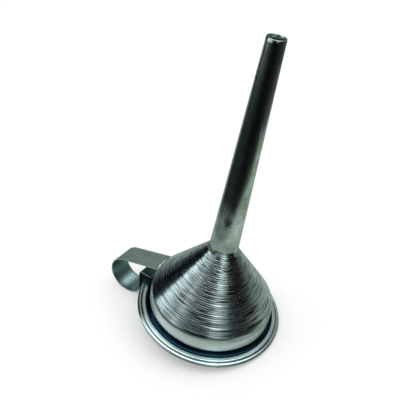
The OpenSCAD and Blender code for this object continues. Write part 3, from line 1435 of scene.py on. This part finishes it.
    def solder(self) -> bpy.types.Object:
        """Builds the lumpy fillet of solder in the groove under the lip.

        Returns:
            The fillet, open over part of the way round.
        """
        least_reach, full_reach = self.solder_reach
        high_top, low_top = self.solder_top
        root_sunk, under_sunk = self.solder_sunk
        steps = 220
        rings = []
        for i in range(steps + 1):
            share = i / steps
            azimuth = math.radians(self.solder_start + self.solder_sweep * share)
            outward = np.array([math.cos(azimuth), math.sin(azimuth), 0])
            seat = Vector((math.cos(azimuth) * 9, math.sin(azimuth) * 9, 0))
            size = math.sqrt(min(1.0, min(share, 1 - share) * self.solder_sweep / self.solder_run_out + 0.01))
            # Lumps 2.2 mm and 0.7 mm long.
            lump = size * (0.92 + 0.22 * noise.noise(seat / 2.2) + 0.08 * noise.noise(seat / 0.7))
            reach = least_reach + (full_reach - least_reach) * lump
            top_angle = high_top + (low_top - high_top) * (1 - lump)
            top = self.lip_point(self.lip_radius + self.clearance, top_angle)
            base = (reach, self.bowl.cone_height(reach))
            root = self.lip_point(self.lip_radius, self.solder_root)
            section = []
            for t in np.linspace(0, 1, 9):
                bulge = [b * lump * math.sin(math.pi * t) for b in self.solder_bulge]
                section.append([top[k] + (base[k] - top[k]) * t + bulge[k] for k in (0, 1)])
            for t in (0.3, 0.65, 1.0):
                drop = under_sunk * math.sin(math.pi * t)
                deep = root[1] - root_sunk
                section.append((base[0] + (root[0] - base[0]) * t, base[1] + (deep - base[1]) * t - drop))
            rings.append([outward * x + np.array([0, 0, z]) for x, z in section])
        piece = loft("spout_solder_fillet", np.array(rings))
        piece.data.materials.append(bpy.data.materials[self.solder_finish.name])
        return piece

    def build(self) -> None:
        """Builds the tube, its joint's filler and the solder round its foot."""
        settle(self.tube(), Slot.ZINC_SHEET, "spout")
        settle(self.seam(), Slot.SOLDER, "spout_seam")
        settle(self.solder(), Slot.SOLDER, "spout_solder")


# ---------------------------------------------------------------- the handle


@dataclass(frozen=True)
class Handle:
    """The strap handle bent into a finger ring, and the two welds that hold it on the bowl."""

    bowl: Bowl
    width: float = 17.5
    thickness: float = 0.9
    ring_radius: float = 13.95
    ring_x: float = 67.0
    ring_z: float = -8.2
    upper_slope: float = 19.0
    foot_radius: float = 3.0
    foot_from: float = 200.0
    lower_lean: float = 6.5
    top_radius: float = 2.0
    lower_end: float = 45.0
    clearance: float = 0.02
    edge_round: float = 0.22
    arc_step: float = 3.0
    unevenness: float = 0.05
    uneven_length: float = 14.0
    upper_drop_radius: float = 0.99
    upper_weld_reach: float = 41.7
    upper_weld_offset: float = 0.15
    lower_drop_radius: float = 0.675
    lower_weld_inset: float = 2.5
    lower_weld_offset: Point2 = (0.1, 0.35)
    drop_spacing: float = 0.42
    drop_smallest: float = 0.35
    drop_scatter: float = 0.3
    drop_grid: float = 0.1
    finish: MetalFinish = field(
        # Zinc-plated strap, tumbled after cutting: satin grey-green with soft edges.
        default_factory=lambda: StrapZinc(
            name="zinc_plated_strap_satin",
            bright="#bcd4cf",
            dull="#94aaa5",
            smooth=0.26,
            rough=0.38,
            patch_mm=7.0,
            grain_mm=0.35,
            grain_depth_mm=0.012,
            grain_stretch=14.0,
        )
    )
    weld_finish: MetalFinish = field(
        # Fusion weld left as laid: rough bright drops with burnt dark hollows between them.
        default_factory=lambda: WeldMetal(
            name="steel_weld_as_laid",
            bright="#f2f4e4",
            dull="#bcc0b0",
            smooth=0.25,
            rough=0.6,
            patch_mm=1.1,
            grain_mm=0.5,
            grain_depth_mm=0.08,
            grain_stretch=1.0,
        )
    )

    def upper_height(self, reach: float) -> float:
        """Gives the height of the upper leg's middle line at a distance from the axis."""
        slope = math.radians(self.upper_slope)
        return self.ring_z + self.ring_radius / math.cos(slope) + (self.ring_x - reach) * math.tan(slope)

    def lower_height(self) -> float:
        """Gives the height of the lower leg's middle line."""
        return self.bowl.flange_z + self.clearance + self.thickness / 2

    def bends(self) -> tuple[Bend, Bend, Bend]:
        """Gives the ring's, the foot's and the top's bends.

        Returns:
            The bends, in order from the upper leg.
        """
        lean = math.radians(self.lower_lean)
        start = math.radians(self.foot_from)
        foot_across = self.ring_x + (self.ring_radius - self.foot_radius) * math.cos(start)
        foot_up = self.ring_z + (self.ring_radius - self.foot_radius) * math.sin(start)
        top_up = self.lower_height() - self.top_radius
        gap = (self.foot_radius + self.top_radius) / math.cos(lean)
        top_across = foot_across - gap + (top_up - foot_up) * math.tan(lean)
        return (
            Bend(self.ring_x, self.ring_z, self.ring_radius, 90 - self.upper_slope, self.foot_from - 360),
            Bend(foot_across, foot_up, self.foot_radius, self.foot_from, 180 - self.lower_lean),
            Bend(top_across, top_up, self.top_radius, -self.lower_lean, 90),
        )

    def upper_end(self, y: float, lift: float) -> float:
        """Finds where the upper leg meets the bowl.

        Args:
            y: Distance from the strap's middle.
            lift: Distance above the leg's middle line, square to it.

        Returns:
            The distance from the axis plane, across, where the strap has to stop.
        """
        slope = math.radians(self.upper_slope)
        low, high = 20.0, self.ring_x
        for _ in range(40):
            reach = (low + high) / 2
            x = reach + lift * math.sin(slope)
            z = self.upper_height(reach) + lift * math.cos(slope)
            inside = math.hypot(x, y) < self.skin_radius(z) + self.clearance
            low, high = (reach, high) if inside else (low, reach)
        return high

    def skin_radius(self, z: float) -> float:
        """Gives the bowl's outside radius over the cone, the knuckle and the collar.

        Args:
            z: The height.

        Returns:
            The radius.
        """
        bowl = self.bowl
        cone = math.radians(bowl.half_angle)
        across = bowl.collar_radius - bowl.knuckle_radius
        up = bowl.apex_z - (bowl.knuckle_radius + across * math.cos(cone)) / math.sin(cone)
        if z <= up:
            return bowl.collar_radius
        if z >= up + bowl.knuckle_radius * math.sin(cone):
            return bowl.cone_radius(z)
        return across + math.sqrt(bowl.knuckle_radius**2 - (z - up) ** 2)

    def section(self) -> list[Point2]:
        """Gives the strap's section as distance across and lift, with rounded edges.

        Returns:
            The section's points, in order.
        """
        edge = self.edge_round
        side_y, side_lift = self.width / 2 - edge, self.thickness / 2 - edge
        made = []
        for sign_y, sign_lift, first in ((1, 1, 0), (-1, 1, 90), (-1, -1, 180), (1, -1, 270)):
            for angle in range(first, first + 91, 30):
                t = math.radians(angle)
                made.append(
                    (sign_y * side_y + edge * math.cos(t), sign_lift * side_lift + edge * math.sin(t))
                )
            if sign_y == sign_lift:
                flat = sign_lift * self.thickness / 2
                made += [(sign_y * side_y * s / 4, flat) for s in range(3, -4, -1)]
        return made

    def strap(self) -> bpy.types.Object:
        """Builds the strap from its upper end on the bowl, round the ring and back to the flange.

        Returns:
            The strap, with a UV map that runs along it.
        """
        line: list[tuple[Point2, Point2]] = []
        for bend in self.bends():
            for across, up in bend.points(0, self.arc_step):
                sign = 1 if bend.end < bend.start else -1
                out = ((across - bend.across) / bend.radius * sign, (up - bend.up) / bend.radius * sign)
                line.append(((across, up), out))
        slope = math.radians(self.upper_slope)
        section = self.section()
        rings = []
        for share in np.linspace(0, 1, 14)[:-1]:
            ring = []
            for y, lift in section:
                end = self.upper_end(y, lift)
                reach = end + (line[0][0][0] - end) * share
                x = reach + lift * math.sin(slope)
                ring.append((-x, y, self.upper_height(reach) + lift * math.cos(slope)))
            rings.append(ring)
        last, last_out = line[-1]
        for share in np.linspace(0, 1, 8)[1:]:
            line.append(((last[0] + (self.lower_end - last[0]) * share, last[1]), last_out))
        for (across, up), out in line:
            rings.append([(-(across + lift * out[0]), y, up + lift * out[1]) for y, lift in section])
        rings = np.array(rings)
        middle = rings.mean(axis=1)
        along = np.concatenate([[0], np.cumsum(np.linalg.norm(np.diff(middle, axis=0), axis=1))])
        LOG.info("strap runs %.1f mm along its middle", along[-1])
        across = np.array([y for y, _ in section])
        uv = np.stack(np.broadcast_arrays(along[:, None], across[None, :]), axis=-1)
        for point in rings.reshape(-1, 3):
            point[2] += self.unevenness * noise.noise(Vector(point) / self.uneven_length)
        piece = loft("strap_handle", rings, uv=uv)
        piece.data.materials.append(self.finish.build())
        return piece

    def bead(self, name: str, path: np.ndarray, radius: float, seed: int) -> bpy.types.Object:
        """Lays a weld along a path.

        Args:
            name: The piece's name.
            path: Points in millimetres.
            radius: The largest drop's radius.
            seed: Seed for the drops' places and sizes.

        Returns:
            The weld.
        """
        piece = mesh_object(name, path, edges=[(i, i + 1) for i in range(len(path) - 1)])
        tree = bpy.data.node_groups.get("lumpy_bead") or lumpy_bead_tree()
        finish = bpy.data.materials.get(self.weld_finish.name) or self.weld_finish.build()
        run_tree(
            piece,
            tree,
            {
                "Spacing": self.drop_spacing * MM,
                "Drop Radius": radius * MM,
                "Smallest": self.drop_smallest,
                "Scatter": self.drop_scatter * MM,
                "Grid": self.drop_grid * MM,
                "Seed": seed,
                "Material": finish,
            },
        )
        return piece

    def upper_weld(self) -> bpy.types.Object:
        """Builds the weld along the strap's upper end.

        Returns:
            The weld.
        """
        half = math.asin(self.width / 2 / self.upper_weld_reach)
        reach = self.upper_weld_reach + self.upper_weld_offset
        z = self.upper_height(self.upper_weld_reach) + self.thickness / 2 + self.upper_weld_offset
        path = [(-reach * math.cos(t), reach * math.sin(t), z) for t in np.linspace(-half, half, 30)]
        return self.bead("upper_weld", np.array(path), self.upper_drop_radius, seed=3)

    def lower_weld(self) -> bpy.types.Object:
        """Builds the weld between the strap's lower end and the flange's ridge.

        Returns:
            The weld.
        """
        half = self.width / 2 - self.lower_weld_inset
        inward, rise = self.lower_weld_offset
        x, z = inward - self.lower_end, self.bowl.flange_z + rise
        path = [(x, y, z) for y in np.linspace(-half, half, 24)]
        return self.bead("lower_weld", np.array(path), self.lower_drop_radius, seed=8)

    def build(self) -> None:
        """Builds the strap and both welds."""
        settle(self.strap(), Slot.ZINC_STRAP, "handle_strap")
        settle(self.upper_weld(), Slot.SOLDER, "upper_handle_weld")
        settle(self.lower_weld(), Slot.SOLDER, "lower_handle_weld")


# ---------------------------------------------------------------- the studio


@dataclass(frozen=True)
class Panel:
    """One upright part of the studio's surround: its azimuth, its glow and its tint."""

    azimuth: float
    glow: float
    tint: str = "#ffffff"


@dataclass(frozen=True)
class Studio:
    """A pale floor under soft white light, with a surround of pale and dark panels for reflections.

    A pair of elevations or of distances gives where a change starts and where it ends.
    """

    handle: Handle
    low_row: tuple[Panel, ...] = (
        Panel(-173, 0.02, "#d8e8f8"),
        Panel(-166, 0.07, "#d8e8f8"),
        Panel(-159, 1.5),
        Panel(-148, 1.2),
        Panel(-134, 0.85),
        Panel(-127, 0.7),
        Panel(-118, 1.0),
        Panel(-106, 0.5),
        Panel(-94, 0.06),
        Panel(-85, 0.004),
        Panel(-70, 0.02),
        Panel(-60, 0.06),
        Panel(-51, 0.5),
        Panel(-41, 0.55),
        Panel(-30, 0.3),
        Panel(-19, 0.04),
        Panel(0, 0.015, "#fff0d8"),
        Panel(30, 0.01, "#fff0d8"),
        Panel(42, 0.12),
        Panel(52, 0.2),
        Panel(90, 0.36),
        Panel(115, 0.3),
        Panel(150, 0.3),
        Panel(160, 0.01),
        Panel(175, 0.006),
    )
    high_row: tuple[Panel, ...] = (
        Panel(-172, 0.04, "#d8e8f8"),
        Panel(-164, 1.1),
        Panel(-158, 0.9),
        Panel(-146, 0.45),
        Panel(-130, 0.12),
        Panel(-108, 0.04),
        Panel(-96, 0.35),
        Panel(-86, 0.42),
        Panel(-72, 0.38),
        Panel(-60, 0.95),
        Panel(-48, 2.05),
        Panel(-38, 1.8),
        Panel(-28, 0.8),
        Panel(-15, 0.3),
        Panel(0, 0.1, "#fff0d8"),
        Panel(20, 0.05, "#fff0d8"),
        Panel(45, 0.2),
        Panel(90, 0.45),
        Panel(112, 0.5),
        Panel(150, 0.15),
        Panel(161, 0.02),
        Panel(177, 0.03),
    )
    table: tuple[Panel, ...] = (
        Panel(-172, 0.035, "#b8d4f0"),
        Panel(-120, 0.03, "#c8dce8"),
        Panel(-90, 0.01),
        Panel(-60, 0.003),
        Panel(-25, 0.01),
        Panel(5, 0.03),
        Panel(40, 0.08),
        Panel(90, 0.3),
        Panel(120, 0.45),
        Panel(140, 0.34),
        Panel(166, 0.27),
        Panel(174, 0.06, "#c8dcf0"),
    )
    row_change: Point2 = (31.0, 41.0)
    row_tilt: float = 0.12
    row_tilt_azimuth: float = -150.0
    overhead: float = 2.6
    overhead_rise: Point2 = (49.0, 60.0)
    dome_reach: float = 4000.0
    floor_reach: float = 9000.0
    floor_drop: float = 0.1
    floor_glow: float = 0.24
    table_reach: float = 3800.0
    table_drop: float = 0.4
    sheet_drop: float = 0.2
    sheet_centre: Point2 = (-7.0, 112.0)
    sheet_reach: Point2 = (200.0, 228.0)
    sheet_turn: float = 24.0
    sheet_dim: Colour = (0.4, 0.49, 0.45, 1.0)
    sheet_lit: Colour = (0.5, 0.53, 0.44, 1.0)
    sheet_lit_at: Point2 = (-100.0, 150.0)
    bowl_shade: Point2 = (35.0, 75.0)
    bowl_shade_left: float = 0.12
    ring_shade_centre: Point3 = (-74.0, 10.0, -20.0)
    ring_shade: Point2 = (10.0, 30.0)
    ring_shade_left: float = 0.3
    fade_centre: Point3 = (-5.0, 60.0, 0.0)
    fade: Point2 = (162.0, 192.0)
    fade_left: float = 0.1
    back: Point2 = (-10.0, 80.0)
    back_share: float = 0.9
    lamp_azimuth: float = -150.0
    lamp_elevation: float = 55.0
    lamp_reach_m: float = 1.5
    lamp_side_m: float = 0.8
    lamp_watts: float = 2.0

    def floor_plane(self) -> tuple[Vector, float]:
        """Finds the plane that the funnel rests on: under the finger ring and the rim's far side.

        Returns:
            The plane's normal and its distance from the origin along it, in millimetres.
        """
        ring = (-self.handle.ring_x, self.handle.ring_z, self.handle.ring_radius + self.handle.thickness / 2)
        _, across, up = self.handle.bowl.curl()
        bead = (across, up, up)
        dx, dz, dr = bead[0] - ring[0], bead[1] - ring[1], ring[2] - bead[2]
        lean = math.atan2(dz, dx) + math.asin(dr / math.hypot(dx, dz))
        normal = Vector((-math.sin(lean), 0.0, math.cos(lean)))
        return normal, bead[0] * normal.x + bead[1] * normal.z - bead[2]

    def plate(
        self,
        name: str,
        size: Point2,
        drop: float,
        corners: int = 96,
        centre: Point2 = (0.0, 0.0),
        turn: float = 0.0,
    ) -> bpy.types.Object:
        """Makes a flat plate under the floor's plane.

        Args:
            name: The plate's name.
            size: Its reach along its own two axes.
            drop: How far it lies under the plane that the funnel rests on.
            corners: Number of corners; a plate of four has its sides square to its axes.
            centre: Its centre in the plane.
            turn: Its turn in the plane, in degrees.

        Returns:
            The plate.
        """
        normal, distance = self.floor_plane()
        side = Vector((0.0, 1.0, 0.0))
        front = side.cross(normal)
        scale = math.sqrt(2) if corners == 4 else 1.0
        c, s = math.cos(math.radians(turn)), math.sin(math.radians(turn))
        points = []
        for i in range(corners):
            t = math.tau * (i + 0.5) / corners
            a, b = size[0] * scale * math.cos(t), size[1] * scale * math.sin(t)
            x, y = centre[0] + a * c - b * s, centre[1] + a * s + b * c
            points.append(tuple(front * x + side * y + normal * (distance - drop)))
        return mesh_object(name, np.array(points), [tuple(range(corners))])

    def show(self, piece: bpy.types.Object, sight: Sight) -> None:
        """Marks a studio object as staging and sets which rays see it.

        Args:
            piece: The studio object.
            sight: Which rays see it.
        """
        mirror = sight is Sight.MIRROR
        for ray in ("camera", "diffuse", "shadow", "transmission", "volume_scatter"):
            setattr(piece, f"visible_{ray}", not mirror)
        piece.visible_glossy = mirror
        LOG.info("studio %s: seen by %s", piece.name, sight.value)

    def ramp(self, tree: bpy.types.NodeTree, panels: Sequence[Panel]) -> Feed:
        """Blends panels into a colour that changes with the azimuth.

        Args:
            tree: The material's tree.
            panels: Panels in order of azimuth.

        Returns:
            The blended glow.
        """
        place = add_node(tree, "ShaderNodeTexCoord").outputs["Object"]
        x, y, _ = add_node(tree, "ShaderNodeSeparateXYZ", {0: place}).outputs
        turn = add_node(tree, "ShaderNodeMath", {0: y, 1: x}, operation="ARCTAN2")
        share = add_node(tree, "ShaderNodeMapRange", {0: turn, 1: -math.pi, 2: math.pi})
        blend = add_node(tree, "ShaderNodeValToRGB", {0: share})
        stops = blend.color_ramp.elements
        for i, panel in enumerate(panels):
            at = (panel.azimuth + 180) / 360
            stop = stops[i] if i < 2 else stops.new(at)
            stop.position = at
        for stop, panel in zip(stops, sorted(panels, key=lambda p: p.azimuth)):
            stop.color = (*(c * panel.glow for c in linear(panel.tint)[:3]), 1.0)
        blend.color_ramp.interpolation = "EASE"
        return blend

    def glowing(self, name: str, colour: Callable[[bpy.types.NodeTree], Feed]) -> bpy.types.Material:
        """Makes a material that only glows.

        Args:
            name: The material's name.
            colour: Adds the glow's nodes to a tree and gives their result.

        Returns:
            The material.
        """
        material, tree = bare_material(name)
        material.cycles.emission_sampling = "NONE"
        glow = add_node(tree, "ShaderNodeEmission", {"Color": colour(tree), "Strength": 1.0})
        add_node(tree, "ShaderNodeOutputMaterial", {"Surface": glow})
        return material

    def surround_glow(self, tree: bpy.types.NodeTree) -> Feed:
        """Blends the wall panels into a soft overhead light.

        Args:
            tree: The material's tree.

        Returns:
            The surround's glow.
        """
        place = add_node(tree, "ShaderNodeTexCoord").outputs["Object"]
        aim = add_node(tree, "ShaderNodeVectorMath", {0: place}, operation="NORMALIZE")
        height = add_node(tree, "ShaderNodeSeparateXYZ", {0: aim}).outputs[2]
        glow = self.ramp(tree, self.low_row)
        turn = math.radians(self.row_tilt_azimuth)
        low_side = (self.row_tilt * math.cos(turn), self.row_tilt * math.sin(turn), 1.0)
        tilted = add_node(tree, "ShaderNodeVectorMath", {0: aim, 1: low_side}, operation="DOT_PRODUCT")
        above = (
            (tilted.outputs["Value"], self.row_change, self.ramp(tree, self.high_row)),
            (height, self.overhead_rise, (self.overhead, self.overhead, self.overhead, 1.0)),
        )
        for source, elevations, over in above:
            limits = tuple(math.sin(math.radians(e)) for e in elevations)
            share = add_node(
                tree, "ShaderNodeMapRange", {0: source, **span(limits, 1)}, interpolation_type="SMOOTHSTEP"
            )
            glow = add_node(tree, "ShaderNodeMix", {0: share, 6: glow, 7: over}, data_type="RGBA").outputs[2]
        return glow

    def sheet_glow(self, tree: bpy.types.NodeTree) -> Feed:
        """Makes the pale sheet brighter towards the light, and dark in the funnel's own shade.

        Args:
            tree: The material's tree.

        Returns:
            The sheet's glow.
        """
        place = add_node(tree, "ShaderNodeTexCoord").outputs["Object"]
        x, y, _ = add_node(tree, "ShaderNodeSeparateXYZ", {0: place}).outputs
        share = add_node(tree, "ShaderNodeMapRange", {0: x, **span(self.sheet_lit_at)})
        lit = add_node(
            tree, "ShaderNodeMix", {0: share, 6: self.sheet_dim, 7: self.sheet_lit}, data_type="RGBA"
        ).outputs[2]
        shades = []
        for centre, limits, inner, outer in (
            ((0.0, 0.0, 0.0), self.bowl_shade, self.bowl_shade_left, 1.0),
            (self.ring_shade_centre, self.ring_shade, self.ring_shade_left, 1.0),
            (self.fade_centre, self.fade, 1.0, self.fade_left),
        ):
            at = tuple(v * MM for v in centre)
            away = add_node(tree, "ShaderNodeVectorMath", {0: place, 1: at}, operation="DISTANCE")
            links = {0: away.outputs["Value"], **span(limits), 3: inner, 4: outer}
            shades.append(add_node(tree, "ShaderNodeMapRange", links, interpolation_type="SMOOTHSTEP"))
        under, ring, front = shades
        back = add_node(tree, "ShaderNodeMapRange", {0: y, **span(self.back), 4: self.back_share})
        reach = add_node(tree, "ShaderNodeMath", {0: front, 1: back}, operation="MAXIMUM")
        near = add_node(tree, "ShaderNodeMath", {0: under, 1: ring}, operation="MULTIPLY")
        left = add_node(tree, "ShaderNodeMath", {0: near, 1: reach}, operation="MULTIPLY")
        return add_node(tree, "ShaderNodeVectorMath", {0: lit, "Scale": left}, operation="SCALE")

    def dome(self) -> bpy.types.Object:
        """Makes the surround as an inward-facing ball.

        Returns:
            The ball, without its material.
        """
        count, rows, reach = 48, 24, self.dome_reach
        points = [(0.0, 0.0, -reach), (0.0, 0.0, reach)]
        for j in range(1, rows):
            up = -math.pi / 2 + math.pi * j / rows
            wide, high = reach * math.cos(up), reach * math.sin(up)
            points += [
                (wide * math.cos(t), wide * math.sin(t), high)
                for t in np.linspace(0, math.tau, count, endpoint=False)
            ]
        faces = []
        for i in range(count):
            k = (i + 1) % count
            faces.append((0, 2 + i, 2 + k))
            faces.append((1, 2 + (rows - 2) * count + k, 2 + (rows - 2) * count + i))
            for j in range(rows - 2):
                a = 2 + j * count
                faces.append((a + i, a + count + i, a + count + k, a + k))
        return mesh_object("studio_surround", np.array(points), faces)

    def floor(self) -> bpy.types.Object:
        """Makes the pale floor that the camera sees.

        Returns:
            The floor.
        """
        floor = self.plate("studio_floor", (self.floor_reach, self.floor_reach), self.floor_drop)
        # Matt painted board: near white, with no gloss to mirror the funnel.
        material, tree = bare_material("matt_white_board")
        place = add_node(tree, "ShaderNodeTexCoord").outputs["Object"]
        mottle = add_node(tree, "ShaderNodeTexNoise", {"Vector": place, "Scale": 40.0, "Detail": 3.0})
        tone = add_node(
            tree,
            "ShaderNodeMix",
            {0: mottle, 6: linear("#e0e0e0"), 7: linear("#e4e4e4")},
            data_type="RGBA",
        )
        shader = add_node(
            tree,
            "ShaderNodeBsdfPrincipled",
            {
                "Base Color": tone.outputs[2],
                "Roughness": 1.0,
                "Specular IOR Level": 0.0,
                "Emission Color": (1.0, 1.0, 1.0, 1.0),
                "Emission Strength": self.floor_glow,
            },
        )
        add_node(tree, "ShaderNodeOutputMaterial", {"Surface": shader})
        floor.data.materials.append(material)
        return floor

    def lights(self) -> None:
        """Adds the white room light and one large soft lamp."""
        world = bpy.data.worlds.new("white_room")
        bpy.context.scene.world = world
        world.use_nodes = True
        tree = world.node_tree
        tree.nodes.clear()
        sky = add_node(tree, "ShaderNodeBackground", {"Color": (1.0, 1.0, 1.0, 1.0), "Strength": 1.0})
        add_node(tree, "ShaderNodeOutputWorld", {"Surface": sky})
        lamp = bpy.data.lights.new("softbox", "AREA")
        lamp.shape = "SQUARE"
        lamp.size = self.lamp_side_m
        lamp.energy = self.lamp_watts
        box = bpy.data.objects.new("softbox", lamp)
        azimuth, elevation = math.radians(self.lamp_azimuth), math.radians(self.lamp_elevation)
        wide, high = self.lamp_reach_m * math.cos(elevation), self.lamp_reach_m * math.sin(elevation)
        box.location = (wide * math.cos(azimuth), wide * math.sin(azimuth), high)
        box.rotation_euler = Vector(box.location).to_track_quat("Z", "Y").to_euler()
        bpy.context.scene.collection.objects.link(box)

    def build(self) -> None:
        """Builds the floor, the surround and the lights."""
        self.show(self.floor(), Sight.EYE)
        table_size = (self.table_reach, self.table_reach)
        sheet = self.plate(
            "studio_sheet", self.sheet_reach, self.sheet_drop, 4, self.sheet_centre, self.sheet_turn
        )
        for piece, name, glow in (
            (self.dome(), "surround_panels", self.surround_glow),
            (
                self.plate("studio_table", table_size, self.table_drop),
                "dark_table",
                lambda tree: self.ramp(tree, self.table),
            ),
            (sheet, "pale_sheet", self.sheet_glow),
        ):
            piece.data.materials.append(self.glowing(name, glow))
            self.show(piece, Sight.MIRROR)
        self.lights()


@dataclass(frozen=True)
class Eye:
    """The camera: its place in millimetres, and where it heads, pitches and rolls in degrees."""

    azimuth: float = -68.3
    reach: float = 244.45
    height: float = 265.3
    heading: float = -26.57
    pitch: float = 35.81
    roll: float = 11.402
    lens: float = 45.03

    def build(self) -> None:
        """Adds the camera and makes it the scene's."""
        heading, pitch, roll = (math.radians(a) for a in (self.heading, self.pitch, self.roll))
        ahead = Vector(
            (math.sin(heading) * math.cos(pitch), math.cos(heading) * math.cos(pitch), -math.sin(pitch))
        )
        level = Vector((math.cos(heading), -math.sin(heading), 0.0))
        upright = level.cross(ahead)
        right = math.cos(roll) * level + math.sin(roll) * upright
        up = -math.sin(roll) * level + math.cos(roll) * upright
        data = bpy.data.cameras.new("eye")
        data.lens = self.lens
        data.sensor_width = 36.0
        data.clip_start = 0.01
        data.clip_end = 50.0
        camera = bpy.data.objects.new("eye", data)
        azimuth = math.radians(self.azimuth)
        place = Vector((math.cos(azimuth) * self.reach, math.sin(azimuth) * self.reach, self.height)) * MM
        turn = Matrix((right, up, -ahead)).transposed()
        camera.matrix_world = Matrix.Translation(place) @ turn.to_4x4()
        bpy.context.scene.collection.objects.link(camera)
        bpy.context.scene.camera = camera


def main() -> None:
    """Builds every piece in order, then the studio and the camera."""
    logging.basicConfig(level=logging.INFO, format="%(name)s: %(message)s")
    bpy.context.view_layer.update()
    bowl = Bowl()
    handle = Handle(bowl)
    bowl.build()
    Spout(bowl).build()
    handle.build()
    Studio(handle).build()
    Eye().build()
    bpy.context.scene.view_settings.view_transform = "Standard"


if __name__ == "__main__":
    main()
